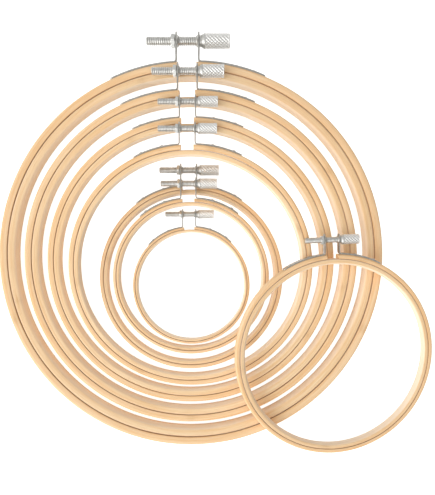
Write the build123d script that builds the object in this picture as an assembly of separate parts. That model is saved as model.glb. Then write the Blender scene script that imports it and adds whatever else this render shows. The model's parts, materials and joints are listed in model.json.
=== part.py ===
from build123d import *
import math
import os
from dataclasses import dataclass

# Outside diameter of the largest inner ring, where the two rings of that hoop meet
LARGEST_FIT_D = 254.0

# The same diameter of each smaller hoop, as a share of the largest
HOOP_2_FIT_SHARE = 0.8606
HOOP_3_FIT_SHARE = 0.7362
HOOP_4_FIT_SHARE = 0.6244
HOOP_5_FIT_SHARE = 0.4803
HOOP_6_FIT_SHARE = 0.4071
HOOP_7_FIT_SHARE = 0.3079
HOOP_8_FIT_SHARE = 0.5197

# Section height and metal fitting of each hoop, as a share of the largest hoop's
HOOP_1_SCALE_SHARE = 1.0
HOOP_2_SCALE_SHARE = 0.85
HOOP_3_SCALE_SHARE = 0.69
HOOP_4_SCALE_SHARE = 0.67
HOOP_5_SCALE_SHARE = 0.71
HOOP_6_SCALE_SHARE = 0.66
HOOP_7_SCALE_SHARE = 0.58
HOOP_8_SCALE_SHARE = 0.63

# Free way along the table between each hoop and the wall of the larger one round it
HOOP_2_NEST_GAP = 3.4
HOOP_3_NEST_GAP = 3.2
HOOP_4_NEST_GAP = 3.1
HOOP_5_NEST_GAP = 3.6
HOOP_6_NEST_GAP = 4.8
HOOP_7_NEST_GAP = 1.7

# Place of the eighth hoop's centre, from the centre of the largest, as shares of its diameter
HOOP_8_RIGHT_SHARE = 0.386
HOOP_8_DOWN_SHARE = 0.271

# Turn of the eighth hoop in degrees
HOOP_8_TURN = 1.5

# Bamboo rings: walls as shares of the fit radius, the rest at the largest hoop's size
OUTER_WALL_SHARE = 0.046
INNER_WALL_SHARE = 0.059
BULGE_SHARE = 0.33
RING_HEIGHT = 11.0
SEAM_CHAMFER = 0.5
RIM_CHAMFER = 0.9
CLOTH_CLEARANCE = 0.3

# Brackets of steel strip, at the largest hoop's size
STRIP_THICKNESS = 1.2
STRIP_WIDTH = 7.2
STRIP_LENGTH = 47.0
EAR_GAP = 14.6
EAR_REACH = 15.5
EAR_TIP = 6.6
WOOD_OVERHANG = 1.0
BEND_RADIUS = 1.4
COLLAR_LENGTH = 0.9
COLLAR_RIM = 0.5
COLLAR_FOOT = 1.5
GAP_SHIFT = 2.6
TIP_ROUND_SHARE = 0.45
END_ROUND_SHARE = 0.3

# Brads that hold the strip, at the largest hoop's size
BRAD_SHANK_D = 1.4
BRAD_HEAD_D = 3.4
BRAD_HEAD_HEIGHT = 0.8
BRAD_BEVEL_SHARE = 0.6
BRAD_DEPTH_SHARE = 0.6
BRAD_PLACE_SHARES = (0.36, 0.82)

# Screw and nut, at the largest hoop's size
ROD_D = 6.0
ROD_FREE_LENGTH = 17.4
ROD_END_CHAMFER = 0.8
NECK_D = 8.2
NECK_LENGTH = 1.1
SHOULDER_LENGTH = 2.6
HEAD_D = 10.8
HEAD_LENGTH = 21.0
HEAD_CHAMFER = 0.5
NUT_ACROSS_FLATS = 8.4
NUT_LENGTH = 2.8
NUT_BEVEL = 0.7

# Clearances
ROD_CLEARANCE = 0.08
FACE_CLEARANCE = 0.2
BRAD_CLEARANCE = 0.05
REST_CLEARANCE = 0.3
FOOTPRINT_MARGIN = 2.0
CUT_OVERRUN = 2.0

# Steps round and across the underside of a hoop where its rest on others is sought
REST_STEPS_ROUND = 120
REST_STEPS_ACROSS = 4
SEARCH_STEPS = 34
STEEPEST_REST_SHARE = 0.5


def on_circle(radius, angle):
    """Point on a circle about the origin, with the angle measured from +Y towards +X."""
    return (radius * math.sin(angle), radius * math.cos(angle))


def arc_on_circle(radius, start, end):
    """Arc about the origin between two angles measured from +Y towards +X."""
    middle = (start + end) / 2
    return ThreePointArc(on_circle(radius, start), on_circle(radius, middle), on_circle(radius, end))


def nearest(items, point):
    """The vertex or edge whose centre lies nearest to a point."""
    return min(items, key=lambda item: (item.center() - Vector(*point)).length)


def lowest_place(height, low, high):
    """Place between two ends where a function with one valley is lowest."""
    for _ in range(SEARCH_STEPS):
        third = (high - low) / 3
        if height(low + third) < height(high - third):
            high = high - third
        else:
            low = low + third
    return (low + high) / 2


@dataclass(frozen=True)
class Hoop:
    """One embroidery hoop in its own frame: centred on Z, standing on z = 0, its screw towards +Y."""

    name: str
    fit_d: float
    scale_share: float

    def sized(self, largest):
        """A size of this hoop's section or fitting, from the largest hoop's."""
        return largest * self.scale_share

    @property
    def fit_r(self):
        return self.fit_d / 2

    @property
    def inner_wall(self):
        return self.fit_r * INNER_WALL_SHARE

    @property
    def bore_r(self):
        """Narrowest radius of the opening, at half the height of the inner ring."""
        return self.fit_r - self.inner_wall

    @property
    def outer_r(self):
        return self.fit_r * (1 + OUTER_WALL_SHARE)

    @property
    def height(self):
        return self.sized(RING_HEIGHT)

    @property
    def foot_r(self):
        """Outermost radius of the flat underside."""
        return self.outer_r - self.sized(RIM_CHAMFER)

    @property
    def screw_y(self):
        return self.outer_r + self.sized(EAR_REACH)

    @property
    def gap_x(self):
        """Middle of the gap between the ears."""
        return -self.sized(GAP_SHIFT)

    @property
    def screw_centre(self):
        """Point on the screw's axis midway between the ears."""
        return (self.gap_x, self.screw_y, self.height / 2)

    @property
    def ear_outer_x(self):
        """Distance from the middle of the gap to the outer face of an ear."""
        return self.sized(EAR_GAP / 2 + STRIP_THICKNESS)

    def inner_ring(self):
        """Closed ring whose inner face bulges between its flat top and bottom."""
        chamfer = self.sized(SEAM_CHAMFER)
        edge_r = self.fit_r - self.inner_wall * (1 - BULGE_SHARE)
        straight = Polyline(
            (edge_r, 0),
            (self.fit_r - chamfer, 0),
            (self.fit_r, chamfer),
            (self.fit_r, self.height - chamfer),
            (self.fit_r - chamfer, self.height),
            (edge_r, self.height),
        )
        bulge = ThreePointArc((edge_r, self.height), (self.bore_r, self.height / 2), (edge_r, 0))
        return revolve(Plane.XZ * make_face([straight, bulge]), Axis.Z)

    def outer_ring(self):
        """Ring split by the gap between the ears, with bevelled edges and holes for the brads."""
        seam = self.sized(SEAM_CHAMFER)
        rim = self.sized(RIM_CHAMFER)
        seam_r = self.fit_r + CLOTH_CLEARANCE
        outline = Polyline(
            (seam_r + seam, 0),
            (self.outer_r - rim, 0),
            (self.outer_r, rim),
            (self.outer_r, self.height - rim),
            (self.outer_r - rim, self.height),
            (seam_r + seam, self.height),
            (seam_r, self.height - seam),
            (seam_r, seam),
            close=True,
        )
        ring = revolve(Plane.XZ * make_face(outline), Axis.Z)
        gap = Box(
            self.sized(EAR_GAP - 2 * WOOD_OVERHANG),
            self.outer_r,
            self.height + 2 * CUT_OVERRUN,
            align=(Align.CENTER, Align.MIN, Align.CENTER),
        )
        hole_r = self.sized(BRAD_SHANK_D) / 2 + BRAD_CLEARANCE
        ring = ring - Pos(self.gap_x, self.fit_r / 2, self.height / 2) * gap
        for seat in self.brad_seats():
            ring = ring - seat * Cylinder(hole_r, 2 * (self.brad_depth() + BRAD_CLEARANCE))
        return ring

    def brad_depth(self):
        """How far a brad reaches into the wood below the strip."""
        return (self.outer_r - self.fit_r) * BRAD_DEPTH_SHARE

    def strip_angle(self, side, share):
        """Angle of a place along one strip, from its ear at 0 to its end at 1."""
        start = math.asin((self.gap_x + side * self.ear_outer_x) / self.outer_r)
        return start + side * share * self.sized(STRIP_LENGTH) / self.outer_r

    def brad_seats(self):
        """Frames on the wood under the strips, with Z pointing out of the ring."""
        seats = []
        for side in (-1, 1):
            for share in BRAD_PLACE_SHARES:
                x, y = on_circle(self.outer_r, self.strip_angle(side, share))
                frame = Plane(origin=(x, y, self.height / 2), x_dir=(0, 0, 1), z_dir=(x, y, 0))
                seats.append(frame.location)
        return seats

    def bracket(self, side):
        """Steel strip nailed round the wood on one side (-1 left, 1 right) and bent up into an ear."""
        thickness = self.sized(STRIP_THICKNESS)
        width = self.sized(STRIP_WIDTH)
        bend = self.sized(BEND_RADIUS)
        back_r = self.outer_r + thickness
        tip_y = self.screw_y + self.sized(EAR_TIP)
        outer_x = self.gap_x + side * self.ear_outer_x
        inner_x = outer_x - side * thickness
        end = self.strip_angle(side, 1)
        back_start = math.asin(outer_x / back_r)
        wood_start = math.asin(inner_x / self.outer_r)
        back_corner = on_circle(back_r, back_start)
        wood_corner = on_circle(self.outer_r, wood_start)
        outline = [
            Line((inner_x, tip_y), (outer_x, tip_y)),
            Line((outer_x, tip_y), back_corner),
            arc_on_circle(back_r, back_start, end),
            Line(on_circle(back_r, end), on_circle(self.outer_r, end)),
            arc_on_circle(self.outer_r, end, wood_start),
            Line(wood_corner, (inner_x, tip_y)),
        ]
        face = make_face(outline)
        face = fillet(nearest(face.vertices(), back_corner), bend)
        face = fillet(nearest(face.vertices(), wood_corner), bend + thickness)
        strip = Pos(0, 0, (self.height - width) / 2) * extrude(face, width, dir=(0, 0, 1))
        tip_edges = strip.edges().filter_by(Axis.X).group_by(Axis.Y)[-1]
        strip = fillet(tip_edges, width * TIP_ROUND_SHARE)
        end_x, end_y = on_circle(self.outer_r + thickness / 2, end)
        corners = [(end_x, end_y, (self.height + way * width) / 2) for way in (-1, 1)]
        end_edges = [nearest(strip.edges(), corner) for corner in corners]
        strip = fillet(end_edges, width * END_ROUND_SHARE)
        rod_r = self.sized(ROD_D) / 2
        collar = Cone(
            rod_r + self.sized(COLLAR_FOOT),
            rod_r + self.sized(COLLAR_RIM),
            self.sized(COLLAR_LENGTH),
            align=(Align.CENTER, Align.CENTER, Align.MIN),
        )
        collar_seat = Plane(origin=(inner_x, self.screw_y, self.height / 2), z_dir=(-side, 0, 0))
        strip = strip + collar_seat.location * collar
        reach = 2 * (thickness + self.sized(COLLAR_LENGTH) + CUT_OVERRUN)
        strip = strip - collar_seat.location * Cylinder(rod_r + ROD_CLEARANCE, reach)
        hole_r = self.sized(BRAD_SHANK_D) / 2 + BRAD_CLEARANCE
        for seat in self.brad_seats():
            strip = strip - seat * Cylinder(hole_r, 2 * (thickness + CUT_OVERRUN))
        return strip

    def brads(self):
        """Four short nails through the strips, their bevelled heads on the steel."""
        thickness = self.sized(STRIP_THICKNESS)
        shank_r = self.sized(BRAD_SHANK_D) / 2
        head_r = self.sized(BRAD_HEAD_D) / 2
        head_top = thickness + self.sized(BRAD_HEAD_HEIGHT)
        bevel = self.sized(BRAD_HEAD_HEIGHT) * BRAD_BEVEL_SHARE
        outline = Polyline(
            (0, -self.brad_depth()),
            (shank_r, -self.brad_depth()),
            (shank_r, thickness),
            (head_r, thickness),
            (head_r, head_top - bevel),
            (head_r - bevel, head_top),
            (0, head_top),
            close=True,
        )
        brad = revolve(Plane.XZ * make_face(outline), Axis.Z)
        return [seat * brad for seat in self.brad_seats()]

    def screw(self):
        """Rod with a long cylindrical grip, lying along X through both ears, its head at the right."""
        rod_r = self.sized(ROD_D) / 2
        neck_r = self.sized(NECK_D) / 2
        head_r = self.sized(HEAD_D) / 2
        tip = self.sized(ROD_END_CHAMFER)
        bevel = self.sized(HEAD_CHAMFER)
        left_ear = -self.ear_outer_x
        rod_end = left_ear - FACE_CLEARANCE - self.sized(NUT_LENGTH + ROD_FREE_LENGTH)
        neck = self.ear_outer_x + FACE_CLEARANCE
        shoulder = neck + self.sized(NECK_LENGTH)
        full = shoulder + self.sized(SHOULDER_LENGTH)
        end = neck + self.sized(HEAD_LENGTH)
        outline = Polyline(
            (rod_end, 0),
            (rod_end, rod_r - tip),
            (rod_end + tip, rod_r),
            (neck, rod_r),
            (neck, neck_r),
            (shoulder, neck_r),
            (full, head_r),
            (end - bevel, head_r),
            (end, head_r - bevel),
            (end, 0),
            close=True,
        )
        return Pos(*self.screw_centre) * revolve(make_face(outline), Axis.X)

    def nut(self):
        """Six-sided nut with bevelled corners, against the outside of the left ear."""
        length = self.sized(NUT_LENGTH)
        bevel = self.sized(NUT_BEVEL)
        flat_r = self.sized(NUT_ACROSS_FLATS) / 2
        corner_r = flat_r / math.cos(math.pi / 6)
        bore_r = self.sized(ROD_D) / 2 + ROD_CLEARANCE
        prism = extrude(RegularPolygon(flat_r, 6, major_radius=False), length)
        cone = Cylinder(corner_r, length, align=(Align.CENTER, Align.CENTER, Align.MIN))
        cone = chamfer(cone.edges().group_by(Axis.Z)[-1], bevel, bevel / 2)
        solid = (prism & cone) - Cylinder(bore_r, 2 * (length + CUT_OVERRUN))
        face_x = self.gap_x - self.ear_outer_x - FACE_CLEARANCE
        seat = Plane(origin=(face_x, self.screw_y, self.height / 2), z_dir=(-1, 0, 0))
        return seat.location * solid

    def pieces(self):
        """Every piece of the hoop by its name, in the hoop's own frame."""
        return {
            "outer_ring": [self.outer_ring()],
            "inner_ring": [self.inner_ring()],
            "left_bracket": [self.bracket(-1)],
            "right_bracket": [self.bracket(1)],
            "brads": self.brads(),
            "screw": [self.screw()],
            "nut": [self.nut()],
        }


@dataclass(frozen=True)
class LaidHoop:
    """A hoop of the nest on the table: its foot at foot_y, its screw end tilted up about X."""

    hoop: Hoop
    foot_y: float
    tilt: float

    @property
    def origin(self):
        """Centre of the hoop's underside."""
        reach = self.hoop.foot_r
        return (0, self.foot_y + reach * math.cos(self.tilt), reach * math.sin(self.tilt))

    @property
    def location(self):
        return Location(self.origin, (math.degrees(self.tilt), 0, 0))

    @property
    def wall_y(self):
        """Inner wall at the foot end, at half the height of the ring."""
        hoop = self.hoop
        across = (hoop.foot_r - hoop.bore_r) * math.cos(self.tilt)
        return self.foot_y + across - hoop.height / 2 * math.sin(self.tilt)

    def top_offset(self):
        """Distance of the plane of the top face from the origin, along its normal."""
        return self.origin[2] * math.cos(self.tilt) - self.origin[1] * math.sin(self.tilt) + self.hoop.height

    def top_height(self, x, y, margin):
        """Height of the top face above a point of the table, or 0 where the hoop isn't within the margin."""
        z = (self.top_offset() + y * math.sin(self.tilt)) / math.cos(self.tilt)
        along = (y - self.origin[1]) * math.cos(self.tilt) + (z - self.origin[2]) * math.sin(self.tilt)
        radius = math.hypot(x, along)
        over = self.hoop.bore_r - margin < radius < self.hoop.outer_r + margin
        return z if over else 0

    def next_flat(self, hoop, gap):
        """A smaller hoop lying flat on the table inside this one."""
        return LaidHoop(hoop, self.wall_y + gap, 0)

    def next_leaning(self, hoop, gap):
        """A smaller hoop with its foot inside this one and its screw head on this one's top face."""
        foot_y = self.wall_y + gap
        along = hoop.foot_r + hoop.screw_y
        reach = math.hypot(along, hoop.height / 2)
        slope = math.atan2(hoop.height / 2, along)
        above = self.top_offset() + foot_y * math.sin(self.tilt)
        above = above + hoop.sized(HEAD_D) / 2 + REST_CLEARANCE
        return LaidHoop(hoop, foot_y, self.tilt - slope + math.asin(above / reach))


def resting_location(hoop, x, y, laid_hoops):
    """Where a loose hoop comes to rest over others: the lowest plane that clears them and the table."""
    supports = []
    for step in range(REST_STEPS_ROUND):
        angle = 2 * math.pi * step / REST_STEPS_ROUND
        for across in range(REST_STEPS_ACROSS + 1):
            radius = hoop.bore_r + (hoop.outer_r - hoop.bore_r) * across / REST_STEPS_ACROSS
            dx, dy = on_circle(radius, angle)
            tops = [laid.top_height(x + dx, y + dy, FOOTPRINT_MARGIN) for laid in laid_hoops]
            supports.append((dx, dy, max(tops)))

    def centre_height(slope_x, slope_y):
        return max(z - dx * slope_x - dy * slope_y for dx, dy, z in supports)

    def best_slope_y(slope_x):
        return lowest_place(
            lambda slope_y: centre_height(slope_x, slope_y), -STEEPEST_REST_SHARE, STEEPEST_REST_SHARE
        )

    slope_x = lowest_place(
        lambda slope: centre_height(slope, best_slope_y(slope)), -STEEPEST_REST_SHARE, STEEPEST_REST_SHARE
    )
    slope_y = best_slope_y(slope_x)
    z = centre_height(slope_x, slope_y) + REST_CLEARANCE
    normal = Vector(-slope_x, -slope_y, 1)
    ahead = Vector(0, 1, slope_y)
    return Plane(origin=(x, y, z), x_dir=ahead.cross(normal), z_dir=normal).location


def nest():
    """The seven nested hoops from the largest in, each tilted where its screw rests on the one before."""
    first = Hoop("hoop_1", LARGEST_FIT_D, HOOP_1_SCALE_SHARE)
    laid = [LaidHoop(first, -first.foot_r, 0)]
    second = Hoop("hoop_2", LARGEST_FIT_D * HOOP_2_FIT_SHARE, HOOP_2_SCALE_SHARE)
    laid.append(laid[-1].next_leaning(second, HOOP_2_NEST_GAP))
    third = Hoop("hoop_3", LARGEST_FIT_D * HOOP_3_FIT_SHARE, HOOP_3_SCALE_SHARE)
    laid.append(laid[-1].next_leaning(third, HOOP_3_NEST_GAP))
    fourth = Hoop("hoop_4", LARGEST_FIT_D * HOOP_4_FIT_SHARE, HOOP_4_SCALE_SHARE)
    laid.append(laid[-1].next_leaning(fourth, HOOP_4_NEST_GAP))
    fifth = Hoop("hoop_5", LARGEST_FIT_D * HOOP_5_FIT_SHARE, HOOP_5_SCALE_SHARE)
    laid.append(laid[-1].next_flat(fifth, HOOP_5_NEST_GAP))
    sixth = Hoop("hoop_6", LARGEST_FIT_D * HOOP_6_FIT_SHARE, HOOP_6_SCALE_SHARE)
    laid.append(laid[-1].next_leaning(sixth, HOOP_6_NEST_GAP))
    seventh = Hoop("hoop_7", LARGEST_FIT_D * HOOP_7_FIT_SHARE, HOOP_7_SCALE_SHARE)
    laid.append(laid[-1].next_flat(seventh, HOOP_7_NEST_GAP))
    return laid


def hoop_set():
    """Every hoop of the set with the location it lies at, about the centre of the largest hoop."""
    laid_hoops = nest()
    placed = [(laid.hoop, laid.location) for laid in laid_hoops]
    loose = Hoop("hoop_8", LARGEST_FIT_D * HOOP_8_FIT_SHARE, HOOP_8_SCALE_SHARE)
    right = LARGEST_FIT_D * HOOP_8_RIGHT_SHARE
    down = LARGEST_FIT_D * HOOP_8_DOWN_SHARE
    resting = resting_location(loose, right, -down, laid_hoops)
    placed.append((loose, resting * Rot(0, 0, HOOP_8_TURN)))
    return placed


def build_nodes(placed):
    """Each piece of every hoop as a named compound, the whole set centred over the origin."""
    nodes = {}
    for hoop, location in placed:
        for piece, shapes in hoop.pieces().items():
            nodes[f"{hoop.name}_{piece}"] = [solid for shape in shapes for solid in (location * shape).solids()]
    middle = Compound([solid for solids in nodes.values() for solid in solids]).bounding_box().center()
    centring = Pos(-middle.X, -middle.Y, 0)
    return {name: Compound([centring * solid for solid in solids]) for name, solids in nodes.items()}, centring


PLACED_HOOPS = hoop_set()
NODES, CENTRING = build_nodes(PLACED_HOOPS)

os.makedirs("parts", exist_ok=True)
for name, node in NODES.items():
    export_step(node, f"parts/{name}.step")
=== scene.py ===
"""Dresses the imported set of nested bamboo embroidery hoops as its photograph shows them.

Each surface is worked out with numpy in its own hoop's frame, centred on the ring's axis, standing on z = 0 with
the screw towards +Y, and then carried into the row frame with that hoop's lean.
"""

from __future__ import annotations

import json
import logging
import math
from collections.abc import Callable, Iterable
from dataclasses import dataclass
from enum import Enum

import bpy
import numpy as np
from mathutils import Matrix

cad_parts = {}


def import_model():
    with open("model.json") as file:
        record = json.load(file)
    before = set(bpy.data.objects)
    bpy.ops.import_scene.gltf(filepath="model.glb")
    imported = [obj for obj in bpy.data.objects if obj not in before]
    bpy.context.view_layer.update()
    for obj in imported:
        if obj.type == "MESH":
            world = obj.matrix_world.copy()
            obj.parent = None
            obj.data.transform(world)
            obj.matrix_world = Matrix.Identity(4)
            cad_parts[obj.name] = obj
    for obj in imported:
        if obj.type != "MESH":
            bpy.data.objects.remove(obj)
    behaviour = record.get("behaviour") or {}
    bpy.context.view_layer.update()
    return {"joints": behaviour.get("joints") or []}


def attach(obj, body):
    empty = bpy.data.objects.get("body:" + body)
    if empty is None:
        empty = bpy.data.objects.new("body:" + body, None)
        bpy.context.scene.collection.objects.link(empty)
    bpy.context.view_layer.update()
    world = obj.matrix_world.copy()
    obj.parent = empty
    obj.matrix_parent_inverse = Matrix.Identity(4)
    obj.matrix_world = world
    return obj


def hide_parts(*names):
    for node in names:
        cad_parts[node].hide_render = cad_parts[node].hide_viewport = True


LOG = logging.getLogger("hoops")
Array = np.ndarray
Rgb = tuple[int, int, int]
Pair = tuple[float, float]
Triple = tuple[float, float, float]
Material = bpy.types.Material
Socket = bpy.types.NodeSocket
TURN = 2 * math.pi
WHITE = (1.0, 1.0, 1.0, 1.0)
# Steps in which an outline is smoothed, and how strongly its points gather in the bends.
OUTLINE_SAMPLES, BEND_WEIGHT = 2048, 0.9
# Turns of the waves round a ring, and its seeds: the first times the hoop's number, plus the second if it's outer.
WAVE_TURNS = (2, 3, 5, 7)
RING_SEED, OUTER_SEED = 10, 5
# How far the collars and the nut reach into the rod, so that no gap shows.
BITE = 0.0001
# Numbers of a Mix node's inputs and output: the share, two values, two colours and the mixed colour.
MIX_SHARE, VALUE_A, VALUE_B, COLOUR_A, COLOUR_B, COLOUR_OUT = 0, 2, 3, 6, 7, 2


class Slot(Enum):
    """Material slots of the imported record."""

    OUTER_WOOD = "outer_wood"
    INNER_WOOD = "inner_wood"
    STRIP = "strip"
    BRAD = "brad"
    SCREW = "screw"
    NUT = "nut"


class Side(Enum):
    """The two sides of the gap in an outer ring."""

    LEFT = -1
    RIGHT = 1


@dataclass(frozen=True)
class Surface:
    """A closed skin on a grid: points by row and column, where the columns always close into a loop.

    Args:
        points: Places, of shape (rows, columns, 3).
        looped: True where the last row joins the first, and False where both ends are closed by a fan.
        marks: Values of shape (rows, columns) or (rows, columns, 3) that the materials read, by name.
    """

    points: Array
    looped: bool
    marks: dict[str, Array]

    def vertices(self, values: Array) -> Array:
        """Lists grid values by vertex, followed by the mean of each end row for the point that closes it."""
        listed = values.reshape(values.shape[0] * values.shape[1], -1)
        if self.looped:
            return listed
        ends = np.stack([values[0].mean(axis=0), values[-1].mean(axis=0)]).reshape(2, -1)
        return np.concatenate([listed, ends])

    def faces(self) -> tuple[Array, Array]:
        """Gives the four-sided faces of the grid and the three-sided ones at its ends, wound to point outwards."""
        rows, columns = self.points.shape[:2]
        index = np.arange(rows * columns).reshape(rows, columns)
        beside = np.roll(index, -1, axis=1)
        if self.looped:
            quads = np.stack([index, beside, np.roll(beside, -1, axis=0), np.roll(index, -1, axis=0)], axis=-1)
            fans = np.zeros((0, 3), int)
        else:
            quads = np.stack([index[:-1], beside[:-1], beside[1:], index[1:]], axis=-1)
            first = np.stack([np.full(columns, index.size), beside[0], index[0]], axis=-1)
            last = np.stack([np.full(columns, index.size + 1), index[-1], beside[-1]], axis=-1)
            fans = np.concatenate([first, last])
        quads = quads.reshape(-1, 4)
        places = self.vertices(self.points)
        halves = np.concatenate([quads[:, :3], quads[:, [0, 2, 3]], fans])
        a, b, c = (places[halves[:, corner]] for corner in range(3))
        if np.einsum("ij,ij->", a, np.cross(b, c)) < 0:
            return quads[:, ::-1], fans[:, ::-1]
        return quads, fans


def put_piece(name: str, surfaces: list[Surface], crease: float) -> bpy.types.Object:
    """Makes one object, at the origin, from closed surfaces that all carry the same marks."""
    points, corners, sizes, start = [], [], [], 0
    for surface in surfaces:
        quads, fans = surface.faces()
        places = surface.vertices(surface.points)
        points.append(places)
        corners += [(quads + start).ravel(), (fans + start).ravel()]
        sizes += [np.full(len(quads), 4), np.full(len(fans), 3)]
        start += len(places)
    joined, wound, counts = np.concatenate(points), np.concatenate(corners), np.concatenate(sizes)
    mesh = bpy.data.meshes.new(name)
    mesh.vertices.add(len(joined))
    mesh.vertices.foreach_set("co", joined.astype(np.float32).ravel())
    mesh.loops.add(len(wound))
    mesh.loops.foreach_set("vertex_index", wound.astype(np.int32))
    mesh.polygons.add(len(counts))
    mesh.polygons.foreach_set("loop_start", np.concatenate([[0], np.cumsum(counts)[:-1]]).astype(np.int32))
    for mark in surfaces[0].marks:
        values = np.concatenate([surface.vertices(surface.marks[mark]) for surface in surfaces]).astype(np.float32)
        wide = values.shape[1] > 1
        layer = mesh.attributes.new(mark, "FLOAT_VECTOR" if wide else "FLOAT", "POINT")
        layer.data.foreach_set("vector" if wide else "value", values.ravel())
    mesh.update(calc_edges=True)
    mesh.validate()
    mesh.shade_smooth()
    mesh.set_sharp_from_angle(angle=math.radians(crease))
    piece = bpy.data.objects.new(name, mesh)
    bpy.context.scene.collection.objects.link(piece)
    return piece


def round_turn(count: int) -> Array:
    """Gives so many evenly spaced angles of a full turn, from 0 on."""
    return np.linspace(0, TURN, count, endpoint=False)


def way_along(line: Array) -> Array:
    """Gives the distance of each point along a line, from 0 at the first."""
    return np.concatenate([[0], np.cumsum(np.linalg.norm(np.diff(line, axis=0), axis=1))])


def picked(wanted: Array, along: Array, line: Array) -> Array:
    """Picks points of a plane line at the wanted distances along it."""
    return np.stack([np.interp(wanted, along, line[:, axis]) for axis in range(2)], axis=1)


def eased_outline(corners: Array, reach: float, count: int) -> Array:
    """Rounds a closed outline's corners.

    The outline is sampled finely, each sample becomes the mean of its neighbours under a bell curve of the given
    reach, and the points kept are spaced by length plus a share of the turning, so that they gather in the bends.

    Args:
        corners: The outline's corner points, of shape (n, 2).
        reach: Width of the bell curve, in metres.
        count: How many points to keep.
    """
    ring = np.concatenate([corners, corners[:1]])
    length = way_along(ring)
    samples = picked(np.linspace(0, length[-1], OUTLINE_SAMPLES, endpoint=False), length, ring)
    wave = np.fft.fftfreq(OUTLINE_SAMPLES, length[-1] / OUTLINE_SAMPLES)
    bell = np.exp(-2 * (math.pi * wave * reach) ** 2)
    smooth = np.fft.ifft(np.fft.fft(samples, axis=0) * bell[:, None], axis=0).real
    step = np.roll(smooth, -1, axis=0) - smooth
    heading = np.arctan2(step[:, 1], step[:, 0])
    turning = np.abs((np.roll(heading, -1) - heading + math.pi) % TURN - math.pi)
    weight = np.linalg.norm(step, axis=1) / length[-1] + BEND_WEIGHT * turning / TURN
    place = np.concatenate([[0], np.cumsum(weight)])
    wanted = np.linspace(0, place[-1], count, endpoint=False)
    return picked(wanted, place, np.concatenate([smooth, smooth[:1]]))


def slow_waves(angles: Array, seed: int, size: float) -> Array:
    """Gentle unevenness round a ring, of at most the given size: a sum of cosine waves with seeded phases."""
    count = len(WAVE_TURNS)
    phases = np.random.default_rng(seed).uniform(0, TURN, count)
    return size / count * np.cos(angles[..., None] * np.array(WAVE_TURNS) + phases).sum(axis=-1)


@dataclass(frozen=True)
class HoopSize:
    """One hoop's sizes, from its fit diameter and its fittings' share of the largest hoop's, which are given here."""

    number: int
    fit_d: float
    share: float
    height_full: float = 0.011
    outer_wall_share: float = 0.046
    inner_wall_share: float = 0.059
    ear_gap: float = 0.0146
    ear_reach: float = 0.0155
    gap_shift: float = 0.0026
    strip_thickness: float = 0.0012
    strip_width: float = 0.0072
    rod_d: float = 0.0064
    clearance: float = 0.0002

    def sized(self, largest: float) -> float:
        """Gives this hoop's size from the largest hoop's."""
        return largest * self.share

    @property
    def name(self) -> str:
        """The hoop's name."""
        return f"hoop_{self.number}"

    @property
    def fit_r(self) -> float:
        """Radius where the two rings meet."""
        return self.fit_d / 2

    @property
    def outer_r(self) -> float:
        """Radius of the wood's outer face."""
        return self.fit_r * (1 + self.outer_wall_share)

    @property
    def height(self) -> float:
        """Height of both rings."""
        return self.sized(self.height_full)

    @property
    def gap_x(self) -> float:
        """Middle of the gap between the ears."""
        return -self.sized(self.gap_shift)

    @property
    def screw_y(self) -> float:
        """Distance of the screw's axis from the ring's axis."""
        return self.outer_r + self.sized(self.ear_reach)

    @property
    def ear_outer_x(self) -> float:
        """Distance from the middle of the gap to an ear's outer face."""
        return self.sized(self.ear_gap / 2 + self.strip_thickness)

    @property
    def screw_centre(self) -> Array:
        """Point on the screw's axis midway between the ears."""
        return np.array([self.gap_x, self.screw_y, self.height / 2])


@dataclass(frozen=True)
class HoopFrame:
    """Where a hoop lies: its origin and its three axes as columns, in the row frame."""

    origin: Array
    axes: Array

    @classmethod
    def of(cls, size: HoopSize, joints: dict[str, dict]) -> HoopFrame:
        """Reads a hoop's lean from its joints: the ring's axis and the screw's axis and place."""
        turn = joints[f"{size.name}_screw_turn"]
        along = np.array(turn["axis"], float)
        up = np.array(joints[f"{size.name}_inner_slide"]["axis"], float)
        axes = np.stack([along, np.cross(up, along), up], axis=1)
        return cls(np.array(turn["pos_m"], float) - axes @ size.screw_centre, axes)

    def carried(self, points: Array) -> Array:
        """Carries points from the hoop's own frame into the row frame."""
        return points @ self.axes.T + self.origin

    def skin(self, points: Array, looped: bool = False) -> Surface:
        """Makes a plain metal skin, with no grip, from points in the hoop's own frame."""
        return Surface(self.carried(points), looped, {"grip": np.zeros(points.shape[:2])})


@dataclass(frozen=True)
class Dress:
    """Puts the pieces of one hoop on their bodies, in place of their CAD nodes."""

    size: HoopSize
    materials: dict[Slot, Material]

    def put(self, name: str, surfaces: list[Surface], body: str, node: str, slot: Slot, crease: float = 38.0) -> None:
        """Makes a piece, gives it the material of its record slot, sets it on its body and hides the CAD node it
        stands for.

        The piece, its body and its node are named without the hoop. Faces that meet at more than the crease angle,
        in degrees, keep a sharp edge.
        """
        piece = put_piece(f"{self.size.name}_{name}", surfaces, crease)
        piece.data.materials.append(self.materials[slot])
        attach(piece, f"{self.size.name}_{body}")
        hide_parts(f"{self.size.name}_{node}")
        LOG.info("%s: %d faces, rides on %s_%s", piece.name, len(piece.data.polygons), self.size.name, body)


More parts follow.
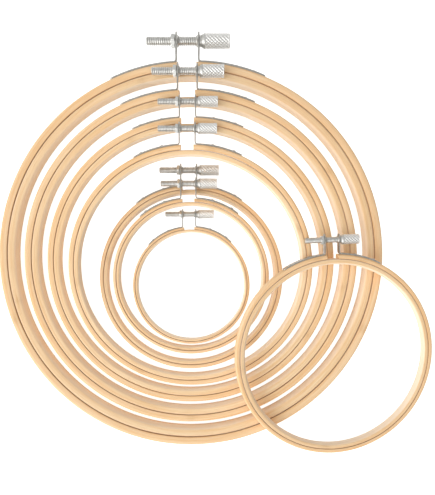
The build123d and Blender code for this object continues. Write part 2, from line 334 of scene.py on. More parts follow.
@dataclass(frozen=True)
class BambooRings:
    """The split outer ring and the closed inner ring of one hoop.

    Lengths are the largest hoop's, in metres. Only the cloth's gap, the knuckles and the rows' pitch are every hoop's.
    """

    size: HoopSize
    frame: HoopFrame
    seam_chamfer: float = 0.00028
    rim_run: float = 0.0024
    rim_drop: float = 0.0017
    cloth_gap: float = 0.0001
    wood_overhang: float = 0.001
    bulge_share: float = 0.33
    bulge_power: float = 1.3
    corner_reach: float = 0.00042
    # How far the painted shade at the seam reaches, across the seam and down from the top and foot.
    seam_shade_reach: float = 0.0004
    seam_shade_depth: float = 0.0011
    inner_ease: float = 1.7
    knuckle_reach: float = 0.0032
    uneven: float = 0.00009
    section_points: int = 48
    bulge_points: int = 24
    rim_points: int = 7
    pitch_along: float = 0.0026
    row_limits: tuple[int, int] = (150, 300)

    def rows(self) -> int:
        """Stations round the ring, at about one pitch each."""
        return int(np.clip(TURN * self.size.fit_r / self.pitch_along, *self.row_limits))

    def inner_section(self) -> Array:
        """Outline of the inner ring: flat top and foot, eased seam edges and an inner face that swells."""
        size, chamfer = self.size, self.size.sized(self.seam_chamfer)
        wall = size.fit_r * size.inner_wall_share
        edge_r, height = size.fit_r - wall * (1 - self.bulge_share), size.height
        rise = np.linspace(0, 1, self.bulge_points)
        swell = edge_r - wall * self.bulge_share * (1 - np.abs(2 * rise - 1) ** self.bulge_power)
        bulge = np.stack([swell, height * (1 - rise)], axis=1)
        fit_r, eased_r = size.fit_r, size.fit_r - chamfer
        outside = np.array([[eased_r, 0], [fit_r, chamfer], [fit_r, height - chamfer], [eased_r, height]])
        reach = size.sized(self.corner_reach) * self.inner_ease
        return eased_outline(np.concatenate([outside, bulge]), reach, self.section_points)

    def outer_section(self) -> Array:
        """Outline of the outer ring: a bar with small eased edges at the seam and larger ones at the rim."""
        size, seam = self.size, self.size.sized(self.seam_chamfer)
        run, drop = size.sized(self.rim_run), size.sized(self.rim_drop)
        seam_r, height = size.fit_r + self.cloth_gap, size.height
        share = np.linspace(0, math.pi / 2, self.rim_points)
        rim = np.stack([size.outer_r - run * (1 - np.sin(share)), drop * (1 - np.cos(share))], axis=1)
        top = np.stack([rim[::-1, 0], height - rim[::-1, 1]], axis=1)
        groove = np.array([[seam_r + seam, height], [seam_r, height - seam], [seam_r, seam], [seam_r + seam, 0]])
        return eased_outline(np.concatenate([rim, top, groove]), size.sized(self.corner_reach), self.section_points)

    def marks(self, angles: Array, section: Array, seed: int) -> dict[str, Array]:
        """What the bamboo's pattern follows, at angles from +Y towards +X round the ring.

        Returns:
            ring: the point's place on the fit circle, and its radius; lift: its height; knuckle: 1 at a growth knot,
                falling off as a bell curve; side: 1 where the skin stands upright, 0 where it lies flat, which places
                the paler colour and painted sheen; seam: 1 at the edges where the rings meet, falling off as a bell
                curve, which places the painted shade there; tone: one value for the whole ring.
        """
        fit_r, draw = self.size.fit_r, np.random.default_rng(seed)
        step = np.roll(section, -1, axis=0) - np.roll(section, 1, axis=0)
        side = np.abs(step[:, 1]) / np.linalg.norm(step, axis=1)
        # Painted shade at the seam: 1 at the fit radius near the top and foot, falling off as a bell curve.
        across = (section[:, 0] - fit_r - self.cloth_gap / 2) / self.size.sized(self.seam_shade_reach)
        below = np.minimum(section[:, 1], self.size.height - section[:, 1]) / self.size.sized(self.seam_shade_depth)
        seam = np.exp(-(across**2) - below**2)
        radius = np.broadcast_to(section[:, 0], angles.shape)
        ring = np.stack([fit_r * np.sin(angles), fit_r * np.cos(angles), radius], axis=-1)
        knots = draw.uniform(0, TURN, 2) + np.array([0, math.pi])
        away = (angles[..., None] - knots + math.pi) % TURN - math.pi
        knuckle = np.exp(-((away * fit_r / self.knuckle_reach) ** 2)).sum(axis=-1)
        return {
            "ring": ring + draw.uniform(0, 1) * np.array([0, 0, 1]),
            "lift": np.broadcast_to(section[:, 1], angles.shape),
            "knuckle": knuckle,
            "side": np.broadcast_to(side, angles.shape),
            "seam": np.broadcast_to(seam, angles.shape),
            "tone": np.full(angles.shape, draw.uniform(0, 1)),
        }

    def swept(self, section: Array, angles: Array, seed: int, moving: Array, looped: bool) -> Surface:
        """Carries a section round the ring's axis: (radius sin a, radius cos a, height) at each angle a.

        Moving says how far each point of the section follows the ring's seeded unevenness, from 0 to 1.
        """
        radius = section[:, 0] + slow_waves(angles, seed, self.size.sized(self.uneven)) * moving
        lift = np.broadcast_to(section[:, 1], angles.shape)
        points = np.stack([radius * np.sin(angles), radius * np.cos(angles), lift], axis=-1)
        return Surface(self.frame.carried(points), looped, self.marks(angles, section, seed))

    def inner_ring(self) -> Surface:
        """Makes the closed ring. Its seam face is true and its inner face a little uneven."""
        section, size = self.inner_section(), self.size
        angles = round_turn(self.rows())[:, None] + np.zeros(len(section))
        moving = np.clip((size.fit_r - section[:, 0]) / (size.fit_r * size.inner_wall_share), 0, 1)
        return self.swept(section, angles, RING_SEED * size.number, moving, True)

    def outer_ring(self) -> Surface:
        """Makes the split ring.

        Its ends are parallel cuts: at radius r the ring runs between the angles whose sine is the cut's x over r.
        """
        section, size = self.outer_section(), self.size
        half = size.sized(size.ear_gap / 2 - self.wood_overhang)
        start = np.arcsin((size.gap_x + half) / section[:, 0])
        end = TURN + np.arcsin((size.gap_x - half) / section[:, 0])
        share = np.linspace(0, 1, self.rows())[:, None]
        moving = np.clip((section[:, 0] - size.fit_r) / (size.outer_r - size.fit_r), 0, 1)
        angles = start + (end - start) * share
        return self.swept(section, angles, RING_SEED * size.number + OUTER_SEED, moving, False)

    def build(self, dress: Dress) -> None:
        """Builds and dresses both rings."""
        dress.put("bamboo_outer", [self.outer_ring()], "outer", "outer_ring", Slot.OUTER_WOOD)
        dress.put("bamboo_inner", [self.inner_ring()], "inner", "inner_ring", Slot.INNER_WOOD)


@dataclass(frozen=True)
class EarStrips:
    """The two steel strips with their ears and collars, and the brads. Lengths are the largest hoop's, in metres."""

    size: HoopSize
    frame: HoopFrame
    length: float = 0.047
    tip: float = 0.0066
    bend: float = 0.0020
    swell: float = 0.0005
    tip_round_share: float = 0.45
    end_round_share: float = 0.3
    end_crowding: float = 0.2
    squareness: float = 0.3
    collar_length: float = 0.0012
    collar_rim: float = 0.0005
    collar_foot: float = 0.0015
    collar_sunk_share: float = 0.3
    lip_inside_share: float = 0.35
    lip_back_share: float = 0.9
    head_d: float = 0.0034
    head_height: float = 0.0008
    head_sunk_share: float = 0.6
    head_swell_share: float = 0.8
    brad_places: Pair = (0.36, 0.82)
    stations: int = 132
    edge_points: int = 28
    arc_points: int = 60
    bend_points: int = 24
    ear_points: int = 30
    round_rows: int = 9
    collar_columns: int = 40
    head_columns: int = 24

    def start_angle(self, side: Side) -> float:
        """Angle, from +Y towards +X, where a strip's ear leaves the wood."""
        return math.asin((self.size.gap_x + side.value * self.size.ear_outer_x) / self.size.outer_r)

    def path(self, side: Side) -> Array:
        """Middle line of a strip in plan: an arc on the wood, a bend and a straight ear, joined smoothly.

        The bend's centre is one bend radius from the ear's line and one outside the arc.
        """
        size, way = self.size, side.value
        thick, bend = size.sized(size.strip_thickness), size.sized(self.bend)
        ear_x = size.gap_x + way * (size.ear_outer_x - thick / 2)
        arc_r = size.outer_r + thick / 2
        centre_x = ear_x + way * bend
        centre_y = math.sqrt((arc_r + bend) ** 2 - centre_x**2)
        leave = math.atan2(centre_x, centre_y)
        end = self.start_angle(side) + way * size.sized(self.length) / size.outer_r
        arc = np.linspace(end, leave, self.arc_points)
        turn = np.linspace(math.pi + leave, math.pi + way * math.pi / 2, self.bend_points)[1:]
        rise = np.linspace(0, 1, self.ear_points)[1:]
        tip_y = size.screw_y + size.sized(self.tip)
        on_arc, on_bend = (np.stack([np.sin(angles), np.cos(angles)], axis=1) for angles in (arc, turn))
        ear = np.stack([np.full(len(rise), ear_x), centre_y + (tip_y - centre_y) * rise], axis=1)
        return np.concatenate([arc_r * on_arc, [centre_x, centre_y] + bend * on_bend, ear])

    def strip(self, side: Side) -> Surface:
        """Carries a thin rounded bar along the path.

        The section is a superellipse, whose half width shrinks as a quarter circle near both ends of the strip. On
        the wood its outer half swells as the root of a sine from end to ear.
        """
        size, line = self.size, self.path(side)
        length = way_along(line)
        even = np.linspace(0, 1, self.stations)
        crowding = self.end_crowding
        along = length[-1] * ((1 - 2 * crowding) * even + crowding * (1 - np.cos(math.pi * even)))
        places = picked(along, length, line)
        heading = np.gradient(places, along, axis=0)
        heading /= np.linalg.norm(heading, axis=1, keepdims=True)
        width = size.sized(size.strip_width)
        half = np.full(self.stations, width / 2)
        for left, share in ((along, self.end_round_share), (length[-1] - along, self.tip_round_share)):
            corner = width * share
            inside = np.clip(corner - left, 0, corner)
            half = np.minimum(half, width / 2 - corner + np.sqrt(corner**2 - inside**2))
        angle = round_turn(self.edge_points)
        across, upward = (np.sign(wave) * np.abs(wave) ** self.squareness for wave in (np.cos(angle), np.sin(angle)))
        across = across * size.sized(size.strip_thickness) / 2
        on_wood = np.sin(math.pi * np.clip(along / size.sized(self.length), 0, 1)) ** 0.5
        outer_half = np.clip(-side.value * across / across.max(), 0, 1)
        across = across - side.value * size.sized(self.swell) * on_wood[:, None] * outer_half
        x = places[:, :1] - heading[:, 1:] * across
        y = places[:, 1:] + heading[:, :1] * across
        return self.frame.skin(np.stack([x, y, size.height / 2 + half[:, None] * upward], axis=-1))

    def collar(self, side: Side) -> Surface:
        """The pressed rim round the rod's hole: its radius falls as the square of the way to its lip."""
        size, way = self.size, side.value
        rod_r, foot, rim = size.sized(size.rod_d / 2), size.sized(self.collar_foot), size.sized(self.collar_rim)
        share = np.linspace(0, 1, self.round_rows)
        out = np.concatenate([[-self.collar_sunk_share], share, [1.0, self.lip_back_share]])
        flare = rim + (foot - rim) * (1 - share) ** 2
        radius = np.concatenate([[foot], flare, [rim * self.lip_inside_share, -BITE]]) + rod_r
        face_x = size.gap_x + way * (size.ear_outer_x - size.sized(size.strip_thickness))
        x = face_x - way * out * size.sized(self.collar_length)
        return self.frame.skin(turned(x, radius[:, None], size, self.collar_columns))

    def brad(self, side: Side, place: float) -> Surface:
        """A domed nail head on the strip: its height over the steel falls as an ellipse to its edge."""
        size, way = self.size, side.value
        angle = self.start_angle(side) + way * place * size.sized(self.length) / size.outer_r
        base = size.outer_r + size.sized(size.strip_thickness + self.head_swell_share * self.swell)
        share = np.linspace(0, math.pi / 2, self.round_rows)[:-1]
        rise = np.concatenate([[-self.head_sunk_share], np.sin(share)]) * size.sized(self.head_height)
        spread = np.concatenate([[1.0], np.cos(share)]) * size.sized(self.head_d / 2)
        around = round_turn(self.head_columns)
        tangent = spread[:, None] * np.cos(around)
        outward = base + rise[:, None]
        x = outward * math.sin(angle) + tangent * math.cos(angle)
        y = outward * math.cos(angle) - tangent * math.sin(angle)
        return self.frame.skin(np.stack([x, y, size.height / 2 + spread[:, None] * np.sin(around)], axis=-1))

    def build(self, dress: Dress) -> None:
        """Builds and dresses both strips and the brads."""
        for side in Side:
            word = side.name.lower()
            skins = [self.strip(side), self.collar(side)]
            dress.put(f"{word}_ear_strip", skins, "outer", f"{word}_bracket", Slot.STRIP)
        heads = [self.brad(side, place) for side in Side for place in self.brad_places]
        dress.put("brad_heads", heads, "outer", "brads", Slot.BRAD)


def turned(x: Array, radius: Array, size: HoopSize, columns: int) -> Array:
    """Turns a profile, with its radius by row or by point, about the screw's axis: (x, radius cos a, radius sin a)."""
    angle, (_, y, z) = round_turn(columns), size.screw_centre
    places = np.broadcast_to(x[:, None], (len(x), columns))
    return np.stack([places, y + radius * np.cos(angle), z + radius * np.sin(angle)], axis=-1)


@dataclass(frozen=True)
class ThumbScrew:
    """The threaded rod with its long knurled grip, and the nut. Lengths are the largest hoop's, in metres."""

    size: HoopSize
    frame: HoopFrame
    free_length: float = 0.0174
    end_chamfer: float = 0.0008
    thread_pitch: float = 0.0015
    thread_depth: float = 0.00032
    thread_fullness: float = 0.62
    thread_fade: float = 0.0008
    neck_d: float = 0.0082
    neck_length: float = 0.0011
    shoulder_length: float = 0.0026
    shoulder_power: float = 0.8
    grip_d: float = 0.0108
    grip_length: float = 0.021
    grip_chamfer: float = 0.0005
    chamfer_run_share: float = 0.7
    chamfer_start: float = 0.2
    rod_face: Pair = (0.15, 0.9)
    grip_face: Pair = (0.9, 0.1)
    knurl_starts: int = 13
    knurl_pitch: float = 0.0025
    knurl_depth: float = 0.0005
    knurl_fade: float = 0.0006
    knurl_power: float = 1.5
    knurl_cuts: Pair = (0.8, 0.45)
    # Painted shade in the knurl's grooves: they take less of the grip's pale colour.
    groove_shade: float = 0.5
    nut_flats: float = 0.0089
    nut_length: float = 0.0028
    nut_cone_share: float = 0.97
    nut_cone_slope: float = 2.2
    columns: int = 130
    pitch_rows: int = 9
    shoulder_rows: int = 12
    grip_rows: int = 120
    face_rows: int = 4
    neck_face_rows: int = 3
    nut_columns: int = 72
    nut_face_rows: int = 5
    nut_side_rows: int = 19
    screw_crease: float = 50.0
    nut_crease: float = 25.0

    @property
    def coarse(self) -> float:
        """How the knurl shrinks from hoop to hoop: as the root of the share, more slowly than the grip."""
        return math.sqrt(self.size.share)

    def thread(self, x: Array, angle: Array) -> Array:
        """Depth of the right-hand thread, from 0 at a crest to 1 at a root.

        It is a cosine of the way along the axis in pitches less the turns round it, flattened at the crests.
        """
        phase = x / self.size.sized(self.thread_pitch) - angle / TURN
        return np.clip(self.thread_fullness - self.thread_fullness * np.cos(TURN * phase), 0, 1)

    def knurl(self, x: Array, angle: Array) -> Array:
        """Depth of the diamond knurl, from 0 on a diamond to 1 in a groove.

        Two families of helical grooves cross. Each is a cosine of the turns and pitches passed, and the second
        is cut a little over half as deep as the first.
        """
        starts, pitch = round(self.knurl_starts * self.coarse), self.knurl_pitch * self.coarse
        passed = [angle * starts / TURN + way * x / pitch for way in (-1, 1)]
        first, second = ((0.5 - 0.5 * np.cos(TURN * turns)) ** self.knurl_power for turns in passed)
        return np.clip(self.knurl_cuts[0] * first + self.knurl_cuts[1] * second, 0, 1)

    def screw(self) -> Surface:
        """Turns the whole screw as one skin, from the rod's end through neck and shoulder to the grip's end face."""
        size, cut = self.size, self.size.sized
        rod_r, neck_r, grip_r = cut(size.rod_d / 2), cut(self.neck_d / 2), cut(self.grip_d / 2)
        chamfer, bevel = cut(self.end_chamfer), cut(self.grip_chamfer)
        rod_end = -size.ear_outer_x - size.clearance - cut(self.nut_length + self.free_length)
        neck = size.ear_outer_x + size.clearance
        full = neck + cut(self.neck_length + self.shoulder_length)
        end = neck + cut(self.grip_length)
        rod = np.arange(rod_end, neck, cut(self.thread_pitch) / self.pitch_rows)
        shoulder = np.linspace(0, 1, self.shoulder_rows)
        grip = np.linspace(full, end - bevel, self.grip_rows)
        swell = neck_r + (grip_r - neck_r) * np.sin(math.pi / 2 * shoulder) ** self.shoulder_power
        rows, start = self.face_rows, end - bevel * self.chamfer_run_share
        eased = grip_r - bevel * np.linspace(self.chamfer_start, 1, rows) ** 2
        runs = [
            (np.full(rows, rod_end), np.linspace(*self.rod_face, rows) * (rod_r - chamfer), 0.0, 0.0),
            (rod, np.minimum(rod_r, rod_r - chamfer + (rod - rod_end)), 1.0, 0.0),
            (np.full(self.neck_face_rows, neck), np.linspace(rod_r, neck_r, self.neck_face_rows), 0.0, 0.0),
            (neck + shoulder[1:] * cut(self.neck_length), np.full(len(shoulder) - 1, neck_r), 0.0, 0.0),
            (full - cut(self.shoulder_length) * (1 - shoulder), swell, 0.0, 0.0),
            (grip, np.full(len(grip), grip_r), 0.0, 1.0),
            (np.linspace(start, end, rows), eased, 0.0, 0.0),
            (np.full(rows, end), np.linspace(*self.grip_face, rows) * (grip_r - bevel), 0.0, 0.0),
        ]
        x, radius = (np.concatenate([run[i] for run in runs]) for i in range(2))
        threaded, knurled = (np.concatenate([np.full(len(run[0]), run[i]) for run in runs]) for i in (2, 3))
        angle = round_turn(self.columns)
        fade = np.clip((x - rod_end) / cut(self.thread_pitch), 0, 1)
        fade = fade * np.clip((neck - x) / cut(self.thread_fade), 0, 1)
        near_end = np.clip(np.minimum(x - full, end - bevel - x) / cut(self.knurl_fade), 0, 1)
        depth = (threaded * fade)[:, None] * self.thread(x[:, None], angle) * cut(self.thread_depth)
        groove = (knurled * near_end)[:, None] * self.knurl(x[:, None], angle)
        depth = depth + groove * self.knurl_depth * self.coarse
        points = turned(x + size.gap_x, radius[:, None] - depth, size, self.columns)
        # The grip mark drops in the knurl's grooves, painting shade there.
        marks = {"grip": knurled[:, None] - self.groove_shade * groove}
        return Surface(self.frame.carried(points), False, marks)

    def nut(self) -> Surface:
        """The six-sided nut: the radius is the hexagon's at that angle, or the bevel cone's where that is less."""
        size, cut = self.size, self.size.sized
        flat, bore = cut(self.nut_flats / 2), cut(size.rod_d / 2) - BITE
        angle = round_turn(self.nut_columns)
        hexagon = flat / np.cos((angle - math.pi / 2) % (math.pi / 3) - math.pi / 6)
        length = cut(self.nut_length)
        face, side = np.linspace(0, 1, self.nut_face_rows), np.linspace(0, 1, self.nut_side_rows)[1:-1]
        along = np.concatenate([np.zeros(len(face)), side, np.ones(len(face)), face[-2:0:-1]])
        outward = np.concatenate([face, np.ones(len(side)), face[::-1], np.zeros(len(face) - 2)])
        depth = np.minimum(along, 1 - along) * length
        cone = flat * self.nut_cone_share + depth * self.nut_cone_slope
        outside = np.minimum(hexagon, cone[:, None])
        radius = bore + outward[:, None] * (outside - bore)
        x = size.gap_x - size.ear_outer_x - size.clearance - along * length
        return self.frame.skin(turned(x, radius, size, self.nut_columns), looped=True)

    def build(self, dress: Dress) -> None:
        """Builds and dresses the screw and its nut."""
        dress.put("thumb_screw", [self.screw()], "screw", "screw", Slot.SCREW, self.screw_crease)
        dress.put("hex_nut", [self.nut()], "nut", "nut", Slot.NUT, self.nut_crease)


def linear(colour: Rgb) -> tuple[float, float, float, float]:
    """Turns a colour as seen on screen, from 0 to 255, into the linear values that a shader takes: the sRGB curve."""
    knee, slope, offset, power = 0.04045, 12.92, 0.055, 2.4
    part = np.array(colour) / 255
    value = np.where(part <= knee, part / slope, ((part + offset) / (1 + offset)) ** power)
    return (*value.tolist(), 1.0)


@dataclass(frozen=True)
class Bench:
    """Adds and joins the nodes of one tree."""

    tree: bpy.types.NodeTree

    @classmethod
    def cleared(cls, owner: Material | bpy.types.World) -> Bench:
        """Empties the tree of a material or world, and gives the bench that fills it."""
        owner.use_nodes = True
        owner.node_tree.nodes.clear()
        return cls(owner.node_tree)

    def add(self, kind: str, inputs: dict | None = None, **settings: object) -> bpy.types.Node:
        """Adds a node of one kind, with its own settings, and with values or linked sockets as its inputs."""
        node = self.tree.nodes.new(kind)
        for key, value in settings.items():
            setattr(node, key, value)
        for key, value in (inputs or {}).items():
            if isinstance(value, Socket):
                self.tree.links.new(value, node.inputs[key])
            else:
                node.inputs[key].default_value = value
        return node

    def mark(self, name: str, output: str = "Fac") -> Socket:
        """Reads one of the pieces' marks."""
        return self.add("ShaderNodeAttribute", attribute_name=name, attribute_type="GEOMETRY").outputs[output]

    def math(self, operation: str, *values: object) -> Socket:
        """Adds a Math node and gives its result."""
        return self.add("ShaderNodeMath", dict(enumerate(values)), operation=operation).outputs[0]

    def times(self, first: object, second: object, *more: object) -> Socket:
        """Multiplies two values, and adds a third where there is one."""
        return self.math("MULTIPLY_ADD" if more else "MULTIPLY", first, second, *more)

    def scaled(self, vector: Socket, scale: Triple) -> Socket:
        """Stretches a pattern's coordinates."""
        inputs = {"Vector": vector, "Scale": scale}
        return self.add("ShaderNodeMapping", inputs, vector_type="POINT").outputs[0]

    def mixed(self, share: object, first: object, second: object) -> Socket:
        """Mixes two colours and gives the result."""
        inputs = {MIX_SHARE: share, COLOUR_A: first, COLOUR_B: second}
        return self.add("ShaderNodeMix", inputs, data_type="RGBA").outputs[COLOUR_OUT]

    def ranged(self, value: object, given: Pair, wanted: Pair = (0.0, 1.0)) -> Socket:
        """Maps a value from the given range to the wanted one, held at both ends."""
        (low, high), (start, end) = given, wanted
        inputs = {"Value": value, "From Min": low, "From Max": high, "To Min": start, "To Max": end}
        return self.add("ShaderNodeMapRange", inputs, clamp=True).outputs[0]

    def surfaced(self, inputs: dict) -> None:
        """Adds the Principled shader and makes it the surface."""
        shader = self.add("ShaderNodeBsdfPrincipled", inputs)
        self.add("ShaderNodeOutputMaterial", {"Surface": shader.outputs[0]})


def shader_group(
    name: str, inputs: dict[str, str], outputs: Iterable[str], fill: Callable[[Bench, dict], dict]
) -> bpy.types.NodeTree:
    """Makes a node group that several materials share, with its inputs' kinds by name and its outputs' names.

    Fill builds its nodes from its input sockets, and returns a socket for each output.
    """
    group = bpy.data.node_groups.new(name, "ShaderNodeTree")
    for label, kind in inputs.items():
        group.interface.new_socket(name=label, in_out="INPUT", socket_type=kind)
    for label in outputs:
        group.interface.new_socket(name=label, in_out="OUTPUT", socket_type="NodeSocketFloat")
    bench = Bench(group)
    entry = bench.add("NodeGroupInput")
    bench.add("NodeGroupOutput", fill(bench, {label: entry.outputs[label] for label in inputs}))
    return group


@dataclass(frozen=True)
class GrainLayer:
    """One layer of the grain: features a metre along the ring and across it, detail, and the noise's range."""

    along: float
    across: float
    detail: float
    span: Pair
    lift_share: float = 0.6
    roughness: float = 0.55


GRAIN = {
    "Fibres": GrainLayer(70.0, 2600.0, 3.0, span=(0.34, 0.66)),
    "Bands": GrainLayer(16.0, 700.0, 2.0, span=(0.34, 0.66)),
    "Clouds": GrainLayer(24.0, 90.0, 2.0, span=(0.3, 0.7)),
    "Pores": GrainLayer(140.0, 5200.0, 1.0, span=(0.66, 0.78)),
}


def fill_bamboo_grain(bench: Bench, given: dict) -> dict:
    """Fibres that run round the ring: noise drawn out along the ring and fine across it, in four dimensions."""
    made = {}
    for name, layer in GRAIN.items():
        inputs = {
            "Vector": bench.scaled(given["Ring"], (layer.along, layer.along, layer.across)),
            "W": bench.times(given["Lift"], layer.across * layer.lift_share),
            "Scale": 1.0,
            "Detail": layer.detail,
            "Roughness": layer.roughness,
        }
        noise = bench.add("ShaderNodeTexNoise", inputs, noise_dimensions="4D")
        made[name] = bench.ranged(noise.outputs[0], layer.span)
    return made


def fill_metal_wear(bench: Bench, given: dict) -> dict:
    """Uneven plating: soft clouds, and fine scratches as stretched noise on the piece's own coordinates."""
    cloud_scale, scratch_scale, span = 420.0, (300.0, 2600.0, 2600.0), (0.35, 0.65)
    clouds = bench.add("ShaderNodeTexNoise", {"Vector": given["Place"], "Scale": cloud_scale, "Detail": 4.0})
    stretched = bench.scaled(given["Place"], scratch_scale)
    scratches = bench.add("ShaderNodeTexNoise", {"Vector": stretched, "Scale": 1.0, "Detail": 2.0})
    return {
        "Clouds": bench.ranged(clouds.outputs[0], span),
        "Scratches": bench.ranged(scratches.outputs[0], span),
    }


@dataclass(frozen=True)
class BambooFinish:
    """Bare sanded bamboo: pale fibres, deeper ones between them, darker knuckles and fine pores. Upright faces are
    drawn paler, partly the split face's own colour and partly a painted sheen, and painted shade runs along the seam.
    """

    name: str
    pale: Rgb
    deep: Rgb
    side: Rgb
    side_deep_with_sheen: Rgb
    # Painted shade: the dark brown drawn along the seam where the rings meet.
    seam: Rgb = (126, 58, 8)
    knot: Rgb = (206, 160, 108)
    pore: Rgb = (196, 146, 96)
    fibre_share: float = 0.4
    band_share: float = 0.6
    cloud_share: float = 0.2
    tone_share: float = 0.14
    knuckle_shares: Pair = (0.1, 0.5)
    pore_share: float = 0.55
    pore_dent: float = 0.8
    # Upright faces take a paler colour: partly the split face's own paler grain, partly a painted sheen that also
    # lifts the shade on the inner ring's walls.
    pale_side_sheen_span: Pair = (0.25, 0.95)
    pale_side_sheen_share: float = 0.85
    seam_shade_shares: Pair = (0.7, 1.0)
    bump_strength: float = 0.35
    bump_height: float = 0.00008
    roughness: Pair = (0.44, 0.58)
    seam_span: Pair = (0.2, 0.8)
    specular: float = 0.35

    def build(self, grain: bpy.types.NodeTree) -> Material:
        """Builds the material on the shared grain group."""
        material = bpy.data.materials.new(self.name)
        bench = Bench.cleared(material)
        group = bench.add("ShaderNodeGroup", node_tree=grain)
        bench.tree.links.new(bench.mark("ring", "Vector"), group.inputs["Ring"])
        bench.tree.links.new(bench.mark("lift"), group.inputs["Lift"])
        fibres, bands, clouds, pores = (group.outputs[name] for name in GRAIN)
        whole = (0.0, 1.0)
        depth = bench.times(fibres, self.fibre_share, bench.times(bands, self.band_share))
        depth = bench.times(clouds, self.cloud_share, depth)
        depth = bench.times(bench.mark("tone"), self.tone_share, depth)
        colour = bench.mixed(depth, linear(self.pale), linear(self.deep))
        knuckle = bench.times(bench.mark("knuckle"), bench.ranged(fibres, whole, self.knuckle_shares))
        colour = bench.mixed(knuckle, colour, linear(self.knot))
        colour = bench.mixed(bench.times(pores, self.pore_share), colour, linear(self.pore))
        # Painted sheen: upright faces, above all the inner ring's walls, are drawn paler and whiter than the top.
        upright = bench.ranged(bench.mark("side"), self.pale_side_sheen_span, (0.0, self.pale_side_sheen_share))
        colour = bench.mixed(upright, colour, bench.mixed(depth, linear(self.side), linear(self.side_deep_with_sheen)))
        # Painted shade along the seam, patchy with the clouds.
        seam = bench.mark("seam")
        groove = bench.times(seam, bench.ranged(clouds, whole, self.seam_shade_shares))
        colour = bench.mixed(groove, colour, linear(self.seam))
        height = bench.times(pores, -self.pore_dent, fibres)
        relief = {"Height": height, "Strength": self.bump_strength, "Distance": self.bump_height}
        bump = bench.add("ShaderNodeBump", relief)
        bench.surfaced(
            {
                "Base Color": colour,
                "Roughness": bench.ranged(fibres, whole, self.roughness),
                "Normal": bump.outputs[0],
                "Specular IOR Level": bench.ranged(seam, self.seam_span, (self.specular, 0.0)),
            }
        )
        return material


@dataclass(frozen=True)
class PlatedFinish:
    """Zinc-plated steel with uneven plating and fine scratches, paler on the grip, with painted shade in the knurl's
    grooves.
    """

    name: str
    bright: Rgb
    dull: Rgb
    roughness: Pair
    scratch: float = 0.25
    scratch_height: float = 0.00003
    knurled: Rgb = (250, 249, 246)
    knurled_share: float = 0.85
    knurled_roughness: float = 0.1

    def build(self, wear: bpy.types.NodeTree) -> Material:
        """Builds the material on the shared wear group."""
        material = bpy.data.materials.new(self.name)
        bench = Bench.cleared(material)
        group = bench.add("ShaderNodeGroup", node_tree=wear)
        bench.tree.links.new(bench.add("ShaderNodeTexCoord").outputs["Object"], group.inputs["Place"])
        clouds, grip = group.outputs["Clouds"], bench.mark("grip")
        colour = bench.mixed(clouds, linear(self.bright), linear(self.dull))
        rough = bench.ranged(clouds, (0.0, 1.0), self.roughness)
        relief = {"Height": group.outputs["Scratches"], "Strength": self.scratch, "Distance": self.scratch_height}
        bump = bench.add("ShaderNodeBump", relief)
        # Paler on the grip; the grip mark is lower in the knurl's grooves, which paints shade there.
        colour = bench.mixed(bench.times(grip, self.knurled_share), colour, linear(self.knurled))
        bench.surfaced(
            {
                "Base Color": colour,
                "Metallic": 1.0,
                "Roughness": bench.times(grip, self.knurled_roughness, rough),
                "Normal": bump.outputs[0],
            }
        )
        return material


def make_materials() -> dict[Slot, Material]:
    """Builds the two shared groups and a material for each slot."""
    inputs = {"Ring": "NodeSocketVector", "Lift": "NodeSocketFloat"}
    grain = shader_group("bamboo_grain", inputs, GRAIN, fill_bamboo_grain)
    wear = shader_group("metal_wear", {"Place": "NodeSocketVector"}, ("Clouds", "Scratches"), fill_metal_wear)
    woods = {
        Slot.OUTER_WOOD: BambooFinish(
            "outer_bamboo", (255, 224, 183), (245, 198, 143), side=(252, 222, 182), side_deep_with_sheen=(238, 196, 144)
        ),
        # The inner ring's side colours are near white: a painted sheen on its walls.
        Slot.INNER_WOOD: BambooFinish(
            "inner_bamboo", (255, 227, 187), (244, 202, 150), side=(255, 241, 222), side_deep_with_sheen=(252, 230, 204)
        ),
    }
    metals = {
        Slot.STRIP: PlatedFinish("strip_steel", (202, 201, 196), (180, 178, 172), roughness=(0.3, 0.42)),
        Slot.BRAD: PlatedFinish("brad_steel", (214, 214, 212), (190, 190, 188), roughness=(0.3, 0.42)),
        Slot.SCREW: PlatedFinish("screw_steel", (212, 211, 207), (194, 193, 188), roughness=(0.36, 0.44)),
        Slot.NUT: PlatedFinish("nut_steel", (236, 236, 232), (222, 222, 218), roughness=(0.24, 0.34)),
    }
    made = {slot: finish.build(grain) for slot, finish in woods.items()}
    made.update({slot: finish.build(wear) for slot, finish in metals.items()})
    return made


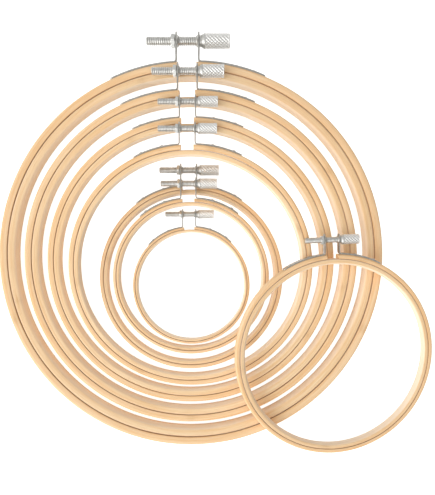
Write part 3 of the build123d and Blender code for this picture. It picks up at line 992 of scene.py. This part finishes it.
@dataclass(frozen=True)
class Studio:
    """The white table, the soft light and the camera straight above. Lengths are in metres."""

    camera_x: float = 0.001141
    camera_y: float = -0.00454
    camera_z: float = 0.45
    sensor_mm: float = 36.0
    nearest: float = 0.01
    picture_rows: int = 495
    row_height: float = 0.0007086
    table_half: float = 4.0
    table_drop: float = 0.00005
    paper: float = 0.86
    glow: float = 0.75
    mirrored_share: float = 0.5
    sky: float = 0.71
    sky_shares: Pair = (0.8, 1.04)
    sky_rise: float = 0.7
    sky_lean: Pair = (-0.42, -0.04)
    zenith_span: Pair = (0.88, 0.97)
    zenith_mirrored: float = 0.65
    key_strength: float = 0.2
    key_from: Triple = (-0.8, -0.35, 0.85)
    fill_strength: float = 1.6
    fill_from: Triple = (-0.85, -0.75, 0.5)
    lamp_softness_deg: float = 70.0

    def camera(self) -> None:
        """Looks straight down with +Y up in the picture. The lens follows from half the picture's height."""
        data = bpy.data.cameras.new("camera")
        data.sensor_width = self.sensor_mm
        data.lens = self.sensor_mm / 2 * self.camera_z / (self.picture_rows / 2 * self.row_height)
        data.clip_start = self.nearest
        eye = bpy.data.objects.new("camera", data)
        eye.location = (self.camera_x, self.camera_y, self.camera_z)
        bpy.context.scene.collection.objects.link(eye)
        bpy.context.scene.camera = eye

    def table(self) -> None:
        """Lays a flat white sheet that glows for the camera, and for reflections of it, and still takes shadow."""
        half = self.table_half
        mesh = bpy.data.meshes.new("table")
        mesh.from_pydata([(-half, -half, 0), (half, -half, 0), (half, half, 0), (-half, half, 0)], [], [(0, 1, 2, 3)])
        sheet = bpy.data.objects.new("table", mesh)
        sheet.location.z = -self.table_drop
        bpy.context.scene.collection.objects.link(sheet)
        material = bpy.data.materials.new("table_white")
        bench = Bench.cleared(material)
        rays = bench.add("ShaderNodeLightPath").outputs
        seen = bench.times(rays["Is Glossy Ray"], self.mirrored_share, rays["Is Camera Ray"])
        seen = bench.math("ADD", seen, rays["Is Transmission Ray"])
        paper = bench.add("ShaderNodeBsdfDiffuse", {"Color": (self.paper, self.paper, self.paper, 1.0)})
        glow = bench.add("ShaderNodeEmission", {"Color": WHITE, "Strength": bench.times(seen, self.glow)})
        both = bench.add("ShaderNodeAddShader", {0: paper.outputs[0], 1: glow.outputs[0]})
        bench.add("ShaderNodeOutputMaterial", {"Surface": both.outputs[0]})
        mesh.materials.append(material)

    def light(self) -> None:
        """Lights the object with a sky and two broad lamps from the lower left, of which only one casts shadow.

        The sky is darker towards the horizon and to the right, and metal mirrors its top more dimly.
        """
        world = bpy.data.worlds.new("studio")
        bpy.context.scene.world = world
        bench = Bench.cleared(world)
        way = bench.add("ShaderNodeSeparateXYZ", {0: bench.add("ShaderNodeTexCoord").outputs["Generated"]})
        levels = (self.sky * self.sky_shares[0], self.sky * self.sky_shares[1])
        level = bench.ranged(way.outputs["Z"], (0.0, self.sky_rise), levels)
        lean = bench.times(way.outputs["X"], self.sky_lean[0], 1.0)
        lean = bench.times(way.outputs["Y"], self.sky_lean[1], lean)
        zenith = bench.ranged(way.outputs["Z"], self.zenith_span, (1.0, self.zenith_mirrored))
        zenith = bench.math("SUBTRACT", zenith, 1.0)
        rays = bench.add("ShaderNodeLightPath").outputs
        zenith = bench.times(rays["Is Glossy Ray"], zenith, 1.0)
        level = bench.times(bench.times(level, lean), zenith)
        inputs = {MIX_SHARE: rays["Is Camera Ray"], VALUE_A: level, VALUE_B: 1.0}
        level = bench.add("ShaderNodeMix", inputs, data_type="FLOAT").outputs[0]
        sky = bench.add("ShaderNodeBackground", {"Color": WHITE, "Strength": level})
        bench.add("ShaderNodeOutputWorld", {"Surface": sky.outputs[0]})
        key = ("key", self.key_strength, self.key_from, True)
        fill = ("fill", self.fill_strength, self.fill_from, False)
        for name, strength, (x, y, z), casts in (key, fill):
            data = bpy.data.lights.new(name, "SUN")
            data.energy = strength
            data.angle = math.radians(self.lamp_softness_deg)
            data.use_shadow = casts
            lamp = bpy.data.objects.new(name, data)
            lamp.rotation_euler = (math.atan2(math.hypot(x, y), z), 0.0, math.atan2(x, -y))
            bpy.context.scene.collection.objects.link(lamp)

    def build(self) -> None:
        """Sets up camera, table and light."""
        self.camera()
        self.table()
        self.light()
        bpy.context.scene.view_settings.view_transform = "Standard"


LARGEST_FIT_D = 0.254
# Each hoop's fit diameter and its fitting, as shares of the largest hoop's.
RING_SHARES = (1.0, 0.8606, 0.7362, 0.6244, 0.4803, 0.4071, 0.3079, 0.5197)
FITTING_SHARES = (1.0, 0.85, 0.69, 0.67, 0.71, 0.66, 0.58, 0.63)


def main() -> None:
    """Builds the studio and every hoop, and reports each piece."""
    logging.basicConfig(level=logging.INFO, format="%(message)s")
    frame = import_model()
    joints = {joint["name"]: joint for joint in frame["joints"]}
    Studio().build()
    materials = make_materials()
    for number, (ring, fitting) in enumerate(zip(RING_SHARES, FITTING_SHARES), start=1):
        size = HoopSize(number, LARGEST_FIT_D * ring, fitting)
        place = HoopFrame.of(size, joints)
        dress = Dress(size, materials)
        BambooRings(size, place).build(dress)
        EarStrips(size, place).build(dress)
        ThumbScrew(size, place).build(dress)


if __name__ == "__main__":
    main()
